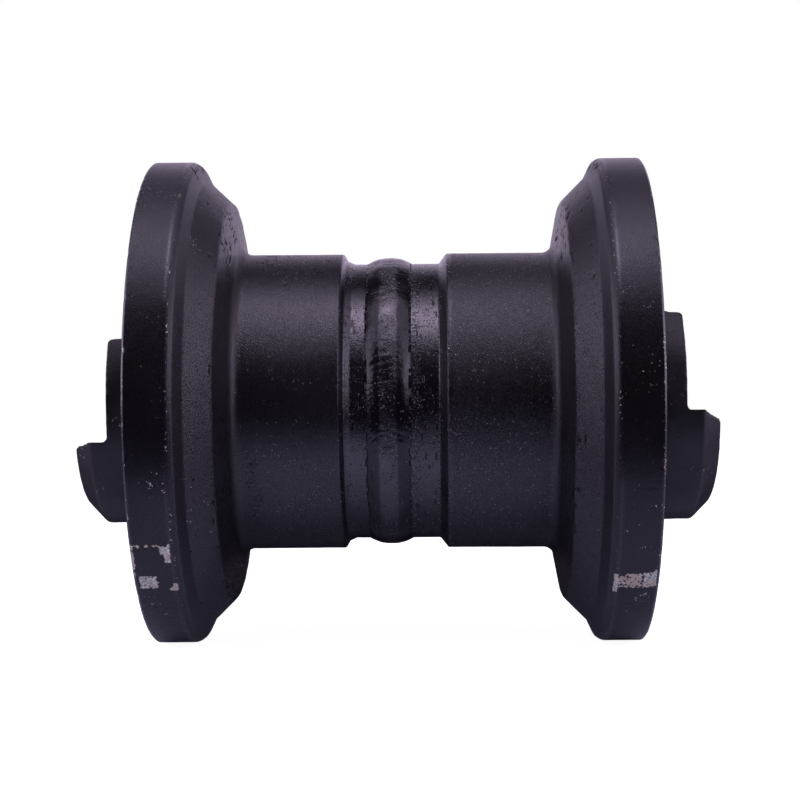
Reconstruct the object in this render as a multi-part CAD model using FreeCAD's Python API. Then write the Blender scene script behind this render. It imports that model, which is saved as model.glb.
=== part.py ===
import FreeCAD, Part
import math
import os

# Double-flange bottom roller of a rubber-track undercarriage, in millimetres.
# The roller turns about +Y, +Z is up and the origin is the middle of its axle.
# Left is the -Y end and right the +Y end. The two ends are mirror images, so most
# outlines are drawn once, as corners (s, radius): s is the distance outwards from
# the middle of the axle, and radius the distance from the axle's axis.

LEFT = -1
RIGHT = 1
SIDES = {"left": LEFT, "right": RIGHT}
AXLE = FreeCAD.Vector(0, 1, 0)
ORIGIN = FreeCAD.Vector(0, 0, 0)

# Running body: two forged halves welded together round the shaft.
FLANGE_R = 100.0
FLANGE_FACE_S = 99.0
RIM_CHAMFER = 1.2
RIM_INNER_S = 80.4
RIM_INNER_ROUND = 4.0
RIM_FOOT = (76.5, 91.2)
RIM_FOOT_ROUND = 1.5
KNEE = (66.6, 81.0)
KNEE_ROUND = 3.5
BARREL_R = 61.3
BARREL_END_S = 63.2
BARREL_END_ROUND = 4.0
SHOULDER_OUTER_S = 21.2
SHOULDER_INNER_S = 17.4
SHOULDER_ROUND = 2.0
NECK_R = 57.15
RECESS_R = 52.0
RECESS_CHAMFER = 1.0

# The weld sits a little left of the middle, in a V groove cut half in each forging.
SEAM_Y = -2.9
GROOVE_ROOT_R = 45.0
GROOVE_ROOT_HALF = 1.5
GROOVE_TOP_HALF = 7.5
BEAD_HALF = 9.15
BEAD_CROWN_R = 59.55

# Shaft, with a thrust ring in the middle and an oil drilling through it.
SHAFT_R = 25.0
SHAFT_END_S = 99.5
SHAFT_CHAMFER = 1.5
THRUST_R = 35.0
THRUST_HALF = 7.0
THRUST_CHAMFER = 1.0
OIL_DRILLING_R = 4.0
OIL_CROSS_R = 2.5
RUNNING_GAP = 0.05

# Flanged bronze bushings, pressed into the forgings against the thrust ring.
BUSHING_R = 30.0
BUSHING_FLANGE = 4.5
BUSHING_START_S = 7.25
BUSHING_CHAMFER = 1.0
OIL_GROOVE_S = 30.0
OIL_GROOVE_HALF = 2.5
OIL_GROOVE_DEPTH = 1.0
CHAMBER_R = 38.0
SEAL_FLOOR_S = 50.0

# Floating face seal: two lapped rings face to face, each on a rubber toric ring
# that is squeezed between two parallel cones. Depth d is counted from the faces.
SEAL_FACE_S = 66.0
SEAL_FACE_GAP = 0.025
SEAL_BORE_R = 29.5
SEAL_BAND_R = 36.0
SEAL_RELIEF_D = 0.6
SEAL_RING_R = 39.8
SEAL_LIP_D = 4.5
SEAL_TAIL_D = 14.5
TORIC_D = 9.0
TORIC_CENTRE_R = 38.0
TORIC_SECTION_R = 4.0
TORIC_CLEARANCE = 0.02
RAMP_ANGLE = math.radians(15)

# End collar: a blind cap that turns on the shaft until the frame bolts clamp it.
COLLAR_R = 50.4
COLLAR_START_S = 67.5
COLLAR_EDGE = 1.0
COLLAR_FLOOR_S = SEAL_FACE_S + SEAL_FACE_S - SEAL_FLOOR_S
SOCKET_END_S = 100.0
SOCKET_MOUTH = 0.8
TOP_STEP_S = 106.0
TOP_FLAT_Z = 14.2
TOP_STEP_ROUND = 3.0
TOP_FLAT_ROUND = 2.5
FRAME_FACE_S = 114.3
SEAT_Z = -26.5
SEAT_ROUND = 1.3
LEDGE_END_S = 128.3
LEDGE_CHAMFER = 7.5
LEDGE_ROUND = 1.0
COLLAR_TURN = {LEFT: -15.0, RIGHT: -28.0}
OUTSIDE = 60.0

# Frame bolt holes, two in each frame face, tapped M14.
BOLT_X = 34.0
BOLT_Z = -6.0
BOLT_HOLE_R = 6.1
BOLT_HOLE_DEPTH = 20.0
BOLT_MOUTH = 1.0

# Oil plug with a hexagon socket, in the end wall of each collar.
PLUG_R = 6.5
PLUG_START_S = 103.3
PLUG_END_S = 113.3
PLUG_CHAMFER = 0.8
PLUG_HEX_ACROSS_FLATS = 7.0
PLUG_HEX_DEPTH = 6.0

# Rubber ring and spring wire ring that seal and hold each collar on the shaft.
O_RING_S = 86.0
O_RING_SECTION_R = 1.4
O_RING_GROOVE_HALF = 2.1
SNAP_S = 94.0
SNAP_WIRE_R = 1.5
SNAP_GROOVE_HALF = 1.6
SNAP_GROOVE_DEPTH = 3.2
SNAP_SWEEP = 335.0


def corner_arc(before, corner, after, radius):
    """The start, middle and end of the arc that rounds a corner between two straight edges."""
    back = (before - corner).normalize()
    ahead = (after - corner).normalize()
    half = back.getAngle(ahead) / 2
    reach = radius / math.tan(half)
    to_centre = (back + ahead).normalize()
    middle = corner + to_centre * (radius / math.sin(half) - radius)
    return corner + back * reach, middle, corner + ahead * reach


def outline(corners, side):
    """A closed wire in the plane x = 0. A corner is (s, height) or (s, height, round)."""
    points = [FreeCAD.Vector(0, side * c[0], c[1]) for c in corners]
    rounds = [c[2] if len(c) > 2 else 0 for c in corners]
    count = len(points)
    stretches = []
    for i, (point, radius) in enumerate(zip(points, rounds)):
        if radius:
            stretches.append(corner_arc(points[i - 1], point, points[(i + 1) % count], radius))
        else:
            stretches.append((point, None, point))
    edges = []
    for i, (start, middle, end) in enumerate(stretches):
        if middle:
            edges.append(Part.Arc(start, middle, end).toShape())
        edges.append(Part.makeLine(end, stretches[(i + 1) % count][0]))
    return Part.Wire(edges)


def turned(corners, side=RIGHT):
    """A solid turned about the axle from its outline."""
    solid = Part.Face(outline(corners, side)).revolve(ORIGIN, AXLE, 360)
    if solid.Volume < 0:
        solid.reverse()
    return solid


def torus(side, s, centre_r, section_r, sweep=360):
    """A round ring about the axle."""
    centre = FreeCAD.Vector(0, side * s, 0)
    return Part.makeTorus(centre_r, section_r, centre, AXLE, 0, 360, sweep)


def ring_ramp(d):
    """Radius of the seal ring's cone at depth d behind the seal face."""
    return TORIC_CENTRE_R - TORIC_SECTION_R / math.cos(RAMP_ANGLE) + (TORIC_D - d) * math.tan(RAMP_ANGLE)


def housing_ramp(d):
    """Radius of the cone that holds the toric ring, at depth d behind the seal face."""
    return TORIC_CENTRE_R + TORIC_SECTION_R / math.cos(RAMP_ANGLE) + (TORIC_D - d) * math.tan(RAMP_ANGLE)


def shell(side):
    """One forged half of the running body, from the weld seam to its outer face."""
    seam = side * SEAM_Y
    seat = BUSHING_START_S + BUSHING_FLANGE
    floor_d = SEAL_FACE_S - SEAL_FLOOR_S
    return turned([
        (seam, CHAMBER_R),
        (seat, CHAMBER_R),
        (seat, BUSHING_R),
        (SEAL_FLOOR_S, BUSHING_R),
        (SEAL_FLOOR_S, housing_ramp(floor_d)),
        (SEAL_FACE_S, housing_ramp(0)),
        (SEAL_FACE_S, RECESS_R),
        (FLANGE_FACE_S - RECESS_CHAMFER, RECESS_R),
        (FLANGE_FACE_S, RECESS_R + RECESS_CHAMFER),
        (FLANGE_FACE_S, FLANGE_R - RIM_CHAMFER),
        (FLANGE_FACE_S - RIM_CHAMFER, FLANGE_R),
        (RIM_INNER_S, FLANGE_R, RIM_INNER_ROUND),
        (*RIM_FOOT, RIM_FOOT_ROUND),
        (*KNEE, KNEE_ROUND),
        (BARREL_END_S, BARREL_R, BARREL_END_ROUND),
        (SHOULDER_OUTER_S, BARREL_R, SHOULDER_ROUND),
        (SHOULDER_INNER_S, NECK_R, SHOULDER_ROUND),
        (seam + GROOVE_TOP_HALF, NECK_R),
        (seam + GROOVE_ROOT_HALF, GROOVE_ROOT_R),
        (seam, GROOVE_ROOT_R),
    ], side)


def weld_bead():
    """The weld that fills the V groove, with a crown that stands proud of the neck."""
    def at(offset, radius):
        return FreeCAD.Vector(0, SEAM_Y + offset, radius)
    lower = [
        at(BEAD_HALF, NECK_R),
        at(GROOVE_TOP_HALF, NECK_R),
        at(GROOVE_ROOT_HALF, GROOVE_ROOT_R),
        at(-GROOVE_ROOT_HALF, GROOVE_ROOT_R),
        at(-GROOVE_TOP_HALF, NECK_R),
        at(-BEAD_HALF, NECK_R),
    ]
    crown = Part.Arc(lower[-1], at(0, BEAD_CROWN_R), lower[0]).toShape()
    edges = [Part.makeLine(a, b) for a, b in zip(lower, lower[1:])]
    solid = Part.Face(Part.Wire(edges + [crown])).revolve(ORIGIN, AXLE, 360)
    if solid.Volume < 0:
        solid.reverse()
    return solid


def bushing(side):
    """A flanged bushing with a ring-shaped oil groove in its bore."""
    bore = SHAFT_R + RUNNING_GAP
    seat = BUSHING_START_S + BUSHING_FLANGE
    end = SEAL_FLOOR_S
    return turned([
        (BUSHING_START_S, bore + BUSHING_CHAMFER),
        (BUSHING_START_S + BUSHING_CHAMFER, bore),
        (OIL_GROOVE_S - OIL_GROOVE_HALF, bore),
        (OIL_GROOVE_S - OIL_GROOVE_HALF, bore + OIL_GROOVE_DEPTH),
        (OIL_GROOVE_S + OIL_GROOVE_HALF, bore + OIL_GROOVE_DEPTH),
        (OIL_GROOVE_S + OIL_GROOVE_HALF, bore),
        (end - BUSHING_CHAMFER, bore),
        (end, bore + BUSHING_CHAMFER),
        (end, BUSHING_R - BUSHING_CHAMFER),
        (end - BUSHING_CHAMFER, BUSHING_R),
        (seat, BUSHING_R),
        (seat, THRUST_R),
        (BUSHING_START_S, THRUST_R),
    ], side)


def shaft():
    """The shaft: thrust ring, two journals, ring grooves, and its oil drillings."""
    o_ring_floor = SHAFT_R - 2 * O_RING_SECTION_R
    half = [
        (THRUST_HALF - THRUST_CHAMFER, THRUST_R),
        (THRUST_HALF, THRUST_R - THRUST_CHAMFER),
        (THRUST_HALF, SHAFT_R),
        (O_RING_S - O_RING_GROOVE_HALF, SHAFT_R),
        (O_RING_S - O_RING_GROOVE_HALF, o_ring_floor),
        (O_RING_S + O_RING_GROOVE_HALF, o_ring_floor),
        (O_RING_S + O_RING_GROOVE_HALF, SHAFT_R),
        (SNAP_S - SNAP_GROOVE_HALF, SHAFT_R),
        (SNAP_S - SNAP_GROOVE_HALF, SHAFT_R - SNAP_GROOVE_DEPTH),
        (SNAP_S + SNAP_GROOVE_HALF, SHAFT_R - SNAP_GROOVE_DEPTH),
        (SNAP_S + SNAP_GROOVE_HALF, SHAFT_R),
        (SHAFT_END_S - SHAFT_CHAMFER, SHAFT_R),
        (SHAFT_END_S, SHAFT_R - SHAFT_CHAMFER),
        (SHAFT_END_S, OIL_DRILLING_R),
    ]
    other_half = [(-s, radius) for s, radius in reversed(half)]
    solid = turned(half + other_half)
    for side in SIDES.values():
        foot = FreeCAD.Vector(0, side * OIL_GROOVE_S, 0)
        solid = solid.cut(Part.makeCylinder(OIL_CROSS_R, THRUST_R, foot))
    return solid


def seal_ring(side, facing):
    """A lapped seal ring. It stands inboard of the seal face when facing is -1, outboard when +1."""
    corners = [
        (SEAL_FACE_GAP, SEAL_BAND_R),
        (SEAL_FACE_GAP, SEAL_RING_R),
        (SEAL_LIP_D, SEAL_RING_R),
        (SEAL_LIP_D, ring_ramp(SEAL_LIP_D)),
        (SEAL_TAIL_D, ring_ramp(SEAL_TAIL_D)),
        (SEAL_TAIL_D, SEAL_BORE_R),
        (SEAL_RELIEF_D, SEAL_BORE_R),
    ]
    return turned([(SEAL_FACE_S + facing * d, radius) for d, radius in corners], side)


def toric_ring(side, facing):
    """The rubber ring that carries a seal ring and presses it on its mate."""
    s = SEAL_FACE_S + facing * TORIC_D
    return torus(side, s, TORIC_CENTRE_R, TORIC_SECTION_R - TORIC_CLEARANCE)


def plain_collar(side):
    """An end collar before it is turned to its rest angle, with its seat level."""
    mouth_d = COLLAR_START_S - SEAL_FACE_S
    floor_d = COLLAR_FLOOR_S - SEAL_FACE_S
    socket_r = SHAFT_R + RUNNING_GAP
    plug_hole_r = PLUG_R + RUNNING_GAP
    cap = turned([
        (COLLAR_START_S, housing_ramp(mouth_d)),
        (COLLAR_FLOOR_S, housing_ramp(floor_d)),
        (COLLAR_FLOOR_S, socket_r + SOCKET_MOUTH),
        (COLLAR_FLOOR_S + SOCKET_MOUTH, socket_r),
        (SOCKET_END_S, socket_r),
        (SOCKET_END_S, plug_hole_r),
        (LEDGE_END_S, plug_hole_r),
        (LEDGE_END_S, COLLAR_R - LEDGE_CHAMFER),
        (LEDGE_END_S - LEDGE_CHAMFER, COLLAR_R),
        (COLLAR_START_S + COLLAR_EDGE, COLLAR_R),
        (COLLAR_START_S, COLLAR_R - COLLAR_EDGE),
    ], side)
    steps = Part.Face(outline([
        (COLLAR_START_S - COLLAR_EDGE, -OUTSIDE),
        (COLLAR_START_S - COLLAR_EDGE, OUTSIDE),
        (TOP_STEP_S, OUTSIDE),
        (TOP_STEP_S, TOP_FLAT_Z, TOP_STEP_ROUND),
        (FRAME_FACE_S, TOP_FLAT_Z, TOP_FLAT_ROUND),
        (FRAME_FACE_S, SEAT_Z, SEAT_ROUND),
        (LEDGE_END_S, SEAT_Z, LEDGE_ROUND),
        (LEDGE_END_S, -OUTSIDE),
    ], side))
    steps.translate(FreeCAD.Vector(-OUTSIDE, 0, 0))
    return cap.common(steps.extrude(FreeCAD.Vector(2 * OUTSIDE, 0, 0)))


def bolt_hole(side, x):
    """The space of one tapped hole in the frame face, with its mouth and drill point."""
    inwards = AXLE * -side
    mouth = FreeCAD.Vector(x, side * FRAME_FACE_S, BOLT_Z)
    bottom = mouth + inwards * BOLT_HOLE_DEPTH
    hole = Part.makeCylinder(BOLT_HOLE_R, BOLT_HOLE_DEPTH, mouth, inwards)
    chamfer = Part.makeCone(BOLT_HOLE_R + BOLT_MOUTH, BOLT_HOLE_R, BOLT_MOUTH, mouth, inwards)
    point = Part.makeCone(BOLT_HOLE_R, 0, BOLT_HOLE_R / math.sqrt(3), bottom, inwards)
    return hole.fuse([chamfer, point])


def collar(side):
    """An end collar with its bolt holes and the groove for the spring wire ring."""
    solid = plain_collar(side)
    for x in (-BOLT_X, BOLT_X):
        solid = solid.cut(bolt_hole(side, x))
    solid = solid.cut(torus(side, SNAP_S, SHAFT_R, SNAP_WIRE_R + RUNNING_GAP))
    solid.rotate(ORIGIN, AXLE, COLLAR_TURN[side])
    return solid


def oil_plug(side):
    """A screw plug with a hexagon socket, just under the frame face."""
    solid = turned([
        (PLUG_START_S, 0),
        (PLUG_START_S, PLUG_R - PLUG_CHAMFER),
        (PLUG_START_S + PLUG_CHAMFER, PLUG_R),
        (PLUG_END_S - PLUG_CHAMFER, PLUG_R),
        (PLUG_END_S, PLUG_R - PLUG_CHAMFER),
        (PLUG_END_S, 0),
    ], side)
    corner_r = PLUG_HEX_ACROSS_FLATS / math.sqrt(3)
    angles = [math.radians(60 * k) for k in range(7)]
    hexagon = Part.makePolygon([
        FreeCAD.Vector(corner_r * math.cos(a), side * PLUG_END_S, corner_r * math.sin(a)) for a in angles
    ])
    socket = Part.Face(hexagon).extrude(AXLE * (-side * PLUG_HEX_DEPTH))
    solid = solid.cut(socket)
    solid.rotate(ORIGIN, AXLE, COLLAR_TURN[side])
    return solid


def all_parts():
    """Every sub-part by its node name."""
    parts = {"shaft": shaft(), "weld_bead": weld_bead()}
    for name, side in SIDES.items():
        parts[name + "_shell"] = shell(side)
        parts[name + "_bushing"] = bushing(side)
        parts[name + "_rotating_seal_ring"] = seal_ring(side, -1)
        parts[name + "_rotating_toric_ring"] = toric_ring(side, -1)
        parts[name + "_fixed_seal_ring"] = seal_ring(side, 1)
        parts[name + "_fixed_toric_ring"] = toric_ring(side, 1)
        parts[name + "_collar"] = collar(side)
        parts[name + "_oil_plug"] = oil_plug(side)
        parts[name + "_shaft_o_ring"] = torus(
            side, O_RING_S, SHAFT_R - O_RING_SECTION_R, O_RING_SECTION_R)
        parts[name + "_snap_ring"] = torus(side, SNAP_S, SHAFT_R, SNAP_WIRE_R, SNAP_SWEEP)
    return parts


os.makedirs("parts", exist_ok=True)
for node, shape in all_parts().items():
    shape.exportStep("parts/" + node + ".step")
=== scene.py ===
import math

import bmesh
import bpy
import numpy as np
from mathutils import Matrix, Vector


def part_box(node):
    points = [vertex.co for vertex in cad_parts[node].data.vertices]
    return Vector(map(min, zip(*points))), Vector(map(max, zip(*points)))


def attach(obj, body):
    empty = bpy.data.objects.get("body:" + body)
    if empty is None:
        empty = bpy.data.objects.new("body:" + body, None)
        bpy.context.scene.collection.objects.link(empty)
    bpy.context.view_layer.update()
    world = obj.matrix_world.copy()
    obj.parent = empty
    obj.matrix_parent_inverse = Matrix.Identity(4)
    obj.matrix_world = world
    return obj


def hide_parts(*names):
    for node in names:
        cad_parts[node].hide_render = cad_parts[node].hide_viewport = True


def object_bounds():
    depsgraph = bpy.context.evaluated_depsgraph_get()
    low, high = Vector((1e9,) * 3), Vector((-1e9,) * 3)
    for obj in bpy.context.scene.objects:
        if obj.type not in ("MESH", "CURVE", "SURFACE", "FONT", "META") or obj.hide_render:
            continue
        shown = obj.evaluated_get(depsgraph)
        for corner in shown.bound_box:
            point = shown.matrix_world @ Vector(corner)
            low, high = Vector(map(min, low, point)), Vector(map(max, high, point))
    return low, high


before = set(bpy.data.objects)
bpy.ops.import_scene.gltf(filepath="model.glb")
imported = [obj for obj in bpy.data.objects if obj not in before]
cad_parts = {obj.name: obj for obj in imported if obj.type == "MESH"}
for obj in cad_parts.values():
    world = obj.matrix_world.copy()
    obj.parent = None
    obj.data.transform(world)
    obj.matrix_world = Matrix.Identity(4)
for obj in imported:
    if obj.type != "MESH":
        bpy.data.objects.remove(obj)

# A double-flange track roller, painted black. Lengths are in millimetres until a mesh is made.
# Outlines are corners (s, radius[, round]): s is the distance outwards from the middle of the
# axle along +Y or -Y, and radius the distance from the axle's axis. Angles are in degrees about
# the axle, 0 towards +X (the camera's side) and 90 straight up.

MM = 0.001
CAD_BOX = [list(corner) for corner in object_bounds()]
SIDES = {"left": -1, "right": 1}

# Sizes that the CAD model gives.
SHELL_LOW, SHELL_HIGH = (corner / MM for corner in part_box("right_shell"))
BEAD_LOW, BEAD_HIGH = (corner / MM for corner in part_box("weld_bead"))
FLANGE_R = SHELL_HIGH.z
FLANGE_FACE_S = SHELL_HIGH.y
SEAM_Y = SHELL_LOW.y
BEAD_HALF = (BEAD_HIGH.y - BEAD_LOW.y) / 2
BEAD_CROWN_R = BEAD_HIGH.z

# Driving dimensions of the running body. The wall, knee and rim are the CAD model's refined by up
# to about 1.5 mm, and the rest is as there.
RIM_CHAMFER = 0.8
RIM_EDGE_ROUND = 0.4
RIM_INNER = (81.6, FLANGE_R, 4.5)
RIM_FOOT = (77.8, 92.0, 1.5)
KNEE = (67.8, 82.3, 3.0)
BARREL_R = 61.3
BARREL_END = (63.9, BARREL_R, 5.0)
NECK_R = 57.15
SHOULDER_FOOT_S = 17.4
SHOULDER_TOP_S = 21.2
SHOULDERS = {
    "left": [(17.5, NECK_R, 1.0), (20.3, 58.4, 0.6), (21.9, BARREL_R, 1.0)],
    "right": [(17.3, NECK_R, 1.0), (20.5, BARREL_R, 1.2)],
}
FACE_PROUD = {"left": 0.3, "right": 0.7}
RECESS_R = 52.0
RECESS_CHAMFER = 1.0
GROOVE_ROOT_R = 45.0
GROOVE_ROOT_HALF = 1.5
GROOVE_TOP_HALF = 7.5
CHAMBER_R = 38.0
BUSHING_R = 30.0
BUSHING_SEAT_S = 11.75
SEAL_FLOOR_S = 50.0
SEAL_FACE_S = 66.0
SEAL_MOUTH_R = 44.6
SEAL_FLOOR_R = 40.3
COLLAR_R = 50.4
FRAME_FACE_S = 114.3

# How finely the new meshes are divided.
SEGMENTS = 900
SKIN_STEP = 0.8
ARC_STEP = 0.45
INSIDE_STEP = 12.0
BEAD_SEGMENTS = 1260
BEAD_ROWS = 72
CAST_VOXEL = 0.75

# A block of random numbers, from which every lump and pit is worked out.
SEED = 11
LATTICE_SIDE = 48
LATTICE = np.random.default_rng(SEED).uniform(-1, 1, (LATTICE_SIDE,) * 3)

# Layers of noise: how large the lumps are, and the shift at which the block is read.
LAYERS = {
    "forged_waves": (27.0, 3.1),
    "forged_lumps": (7.0, 8.7),
    "forged_sand": (2.2, 1.3),
    "edge_breaks": (9.0, 2.2),
    "edge_crumbs": (2.2, 4.4),
    "patches": (34.0, 6.2),
    "clumps": (9.0, 3.3),
    "ripple_wander": (8.0, 7.7),
    "ripple_strength": (12.0, 9.1),
    "bead_crinkles": ((1.4, 2.4, 1.4), 5.1),
    "bead_creases": (0.9, 2.6),
    "bead_lumps": (8.0, 1.9),
    "bead_bumps": (2.6, 6.3),
    "bead_roughness": (5.0, 4.8),
    "toe_dots": (1.3, 3.7),
    "toe_grime": (1.9, 3.7),
    "cast_waves": (13.0, 2.0),
    "cast_lumps": (4.0, 6.0),
    "cast_grain": (1.5, 9.0),
    "worn_places": (7.0, 5.0),
    "worn_edges": (2.0, 1.0),
}


# ---- numbers

def smooth(t):
    """0 below 0, 1 above 1 and a smooth curve between."""
    t = np.clip(t, 0, 1)
    return t * t * (3 - 2 * t)


def rise(x, low, high):
    """0 below low, 1 above high and a smooth curve between."""
    return smooth((x - low) / (high - low))


def band(x, low, high, soft):
    """1 from low to high, falling to 0 within soft outside them."""
    return smooth((x - low) / soft + 1) * smooth((high - x) / soft + 1)


def noise(points, size, shift):
    """Smooth noise from -1 to 1, with lumps about size across."""
    grid = points / np.asarray(size) + shift
    cell = np.floor(grid).astype(int)
    near = smooth(grid - cell)
    total = np.zeros(points.shape[:-1])
    for corner in np.ndindex(2, 2, 2):
        weight = np.prod(np.where(corner, near, 1 - near), axis=-1)
        at = (cell + corner) % LATTICE_SIDE
        total += weight * LATTICE[at[..., 0], at[..., 1], at[..., 2]]
    return total


def layered(points, base=0, **amounts):
    """A base value plus an amount of each named layer of noise."""
    total = base
    for name, amount in amounts.items():
        total = total + amount * noise(points, *LAYERS[name])
    return total


def raised(base, parts, **amounts):
    """A base value plus an amount of each named part."""
    total = base
    for name, amount in amounts.items():
        total = total + amount * parts[name]
    return total


def wrapped(angle):
    """The same angle, from -180 to 180 degrees."""
    return (angle + 180) % 360 - 180


# ---- turned outlines

def rounded(before, corner, after, radius):
    """Points along the arc that rounds a corner between two straight edges."""
    back = (before - corner).normalized()
    ahead = (after - corner).normalized()
    half = back.angle(ahead) / 2
    centre = corner + (back + ahead).normalized() * (radius / math.sin(half))
    start = corner + back * (radius / math.tan(half))
    end = corner + ahead * (radius / math.tan(half))
    sweep = math.pi - 2 * half
    count = max(2, math.ceil(radius * sweep / ARC_STEP))
    first = (start - centre).normalized()
    last = (end - centre).normalized()
    arms = [first.slerp(last, k / count) for k in range(count + 1)]
    return [centre + arm * radius for arm in arms]


def path(corners, step):
    """Points along a line of corners, no further apart than step."""
    flat = [Vector(corner[:2]) for corner in corners]
    points = [flat[0]]
    for i in range(1, len(corners)):
        turn = [flat[i]]
        if len(corners[i]) > 2:
            turn = rounded(flat[i - 1], flat[i], flat[i + 1], corners[i][2])
        start = points[-1]
        count = max(1, math.ceil((turn[0] - start).length / step))
        points += [start.lerp(turn[0], k / count) for k in range(1, count)]
        points += turn
    return points


def shell_skin(name):
    """The outside of one half of the running body, from the weld to the bottom of the recess."""
    face = FLANGE_FACE_S + FACE_PROUD[name]
    return path([
        (SIDES[name] * SEAM_Y + GROOVE_TOP_HALF, NECK_R),
        *SHOULDERS[name],
        BARREL_END,
        KNEE,
        RIM_FOOT,
        RIM_INNER,
        (face - RIM_CHAMFER, FLANGE_R, RIM_EDGE_ROUND),
        (face, FLANGE_R - RIM_CHAMFER, RIM_EDGE_ROUND),
        (face, RECESS_R + RECESS_CHAMFER),
        (face - RECESS_CHAMFER, RECESS_R),
        (SEAL_FACE_S, RECESS_R),
    ], SKIN_STEP)


def shell_inside(side):
    """The bore of the same half, from the recess back to the weld, without its two ends."""
    seam = side * SEAM_Y
    return path([
        (SEAL_FACE_S, RECESS_R),
        (SEAL_FACE_S, SEAL_MOUTH_R),
        (SEAL_FLOOR_S, SEAL_FLOOR_R),
        (SEAL_FLOOR_S, BUSHING_R),
        (BUSHING_SEAT_S, BUSHING_R),
        (BUSHING_SEAT_S, CHAMBER_R),
        (seam, CHAMBER_R),
        (seam, GROOVE_ROOT_R),
        (seam + GROOVE_ROOT_HALF, GROOVE_ROOT_R),
        (seam + GROOVE_TOP_HALF, NECK_R),
    ], INSIDE_STEP)[1:-1]


class Turned:
    """A skin turned about the axle: its points, normals and named values, one row per outline point."""

    STROKE_REACH = 1.6
    # The depth of dent at which its painted shade is full.
    FULL_SHADE_DEPTH = 0.3
    WEAR_SOFT = 0.9
    WEAR_MARGIN = 2
    GATHER_REACH = 2.5

    def __init__(self, outline, side, segments):
        line = np.array([tuple(point) for point in outline])
        self.side = side
        self.s = line[:, 0]
        self.r = line[:, 1]
        gaps = np.linalg.norm(np.diff(line, axis=0), axis=1)
        self.along = np.concatenate([[0], np.cumsum(gaps)])
        tangent = np.gradient(line, axis=0)
        tangent /= np.linalg.norm(tangent, axis=1)[:, None]
        self.normal_s = -tangent[:, 1]
        self.normal_r = tangent[:, 0]
        self.angle = np.arange(segments) * 360 / segments
        self.points = self.placed(np.zeros((len(line), segments)))
        self.lift = np.zeros((len(line), segments))
        self.fields = {}

    def placed(self, lift):
        """The skin's points in the row frame, each moved by lift along its normal."""
        s = self.s[:, None] + lift * self.normal_s[:, None]
        r = self.r[:, None] + lift * self.normal_r[:, None]
        turn = np.radians(self.angle)
        return np.stack([r * np.cos(turn), self.side * s, r * np.sin(turn)], axis=-1)

    def field(self, name, values):
        """Keeps a value from 0 to 1 at each point, for the material."""
        self.fields[name] = np.clip(np.broadcast_to(values, self.lift.shape), 0.0, 1.0)

    def near(self, s, r, reach):
        """1 on the row at a place of the outline, fading over reach on the rows beside it."""
        return np.exp(-(np.hypot(self.s - s, self.r - r) / reach) ** 2)[:, None]

    def window(self, s, r, angle, half_along, half_around):
        """The rows and columns round a place, and each one's distance from it both ways."""
        row = np.argmin(np.hypot(self.s - s, self.r - r))
        up = self.along - self.along[row]
        round_it = np.radians(wrapped(self.angle - angle)) * self.r[row]
        rows = np.flatnonzero(abs(up) < half_along)
        columns = np.flatnonzero(abs(round_it) < half_around)
        return np.ix_(rows, columns), up[rows][:, None], round_it[columns][None, :]

    def stroke(self, s, r, angle, length, width, tilt):
        """A soft stroke's place and shape; tilt 0 lays it round the axle and 90 along the outline."""
        reach = length * self.STROKE_REACH
        at, up, round_it = self.window(s, r, angle, reach, reach)
        lean = math.radians(tilt)
        far = round_it * math.cos(lean) + up * math.sin(lean)
        across = up * math.cos(lean) - round_it * math.sin(lean)
        return at, np.exp(-(2 * far / length) ** 4 - (2 * across / width) ** 2)

    def show(self, field, at, values):
        """Raises a field to at least these values."""
        self.fields[field][at] = np.maximum(self.fields[field][at], values)

    def pit(self, s, r, angle, length, width, depth, tilt):
        """A dent, with shade painted into its colour, the darker the deeper it is."""
        at, dent = self.stroke(s, r, angle, length, width, tilt)
        self.lift[at] -= depth * dent
        # Painted shade: a darker colour in the dent, the deeper it is.
        self.show("grime", at, dent * min(1, depth / self.FULL_SHADE_DEPTH))

    def scrape(self, s, r, angle, length, width, tilt, amount):
        """A thin line scraped through the paint."""
        at, line = self.stroke(s, r, angle, length, width, tilt)
        self.show("bare", at, amount * line)

    def wear(self, s, r, angle, length, width, amount):
        """A spot rubbed to bare metal: length runs round the axle and width along the outline."""
        at, up, round_it = self.window(s, r, angle, width + self.WEAR_MARGIN, length + self.WEAR_MARGIN)
        along = band(abs(up), 0, width / 2, self.WEAR_SOFT)
        around = band(abs(round_it), 0, length / 2, self.WEAR_SOFT)
        self.show("bare", at, along * around * amount)

    def gather(self, field, s, r, angle, reach, amount):
        """Adds to a field in a round spot that fades outwards."""
        half = self.GATHER_REACH * reach
        at, up, round_it = self.window(s, r, angle, half, half)
        spot = amount * np.exp(-(up ** 2 + round_it ** 2) / reach ** 2)
        self.fields[field][at] = np.clip(self.fields[field][at] + spot, 0, 1)


def link(name, mesh):
    """An object for a mesh, in the scene."""
    piece = bpy.data.objects.new(name, mesh)
    bpy.context.scene.collection.objects.link(piece)
    return piece


def keep_field(mesh, name, values):
    """Stores one value for each point of a mesh."""
    kept = mesh.attributes.new(name, "FLOAT", "POINT")
    kept.data.foreach_set("value", values.astype(np.float32).ravel())


def closed_rings(rows, columns, flip):
    """Four-sided faces over a grid that closes both ways."""
    index = np.arange(rows * columns).reshape(rows, columns)
    beyond = np.roll(index, -1, axis=0)
    quads = np.stack([index, np.roll(index, -1, axis=1), np.roll(beyond, -1, axis=1), beyond], axis=-1)
    quads = quads.reshape(-1, 4)
    return quads[:, ::-1] if flip else quads


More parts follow.
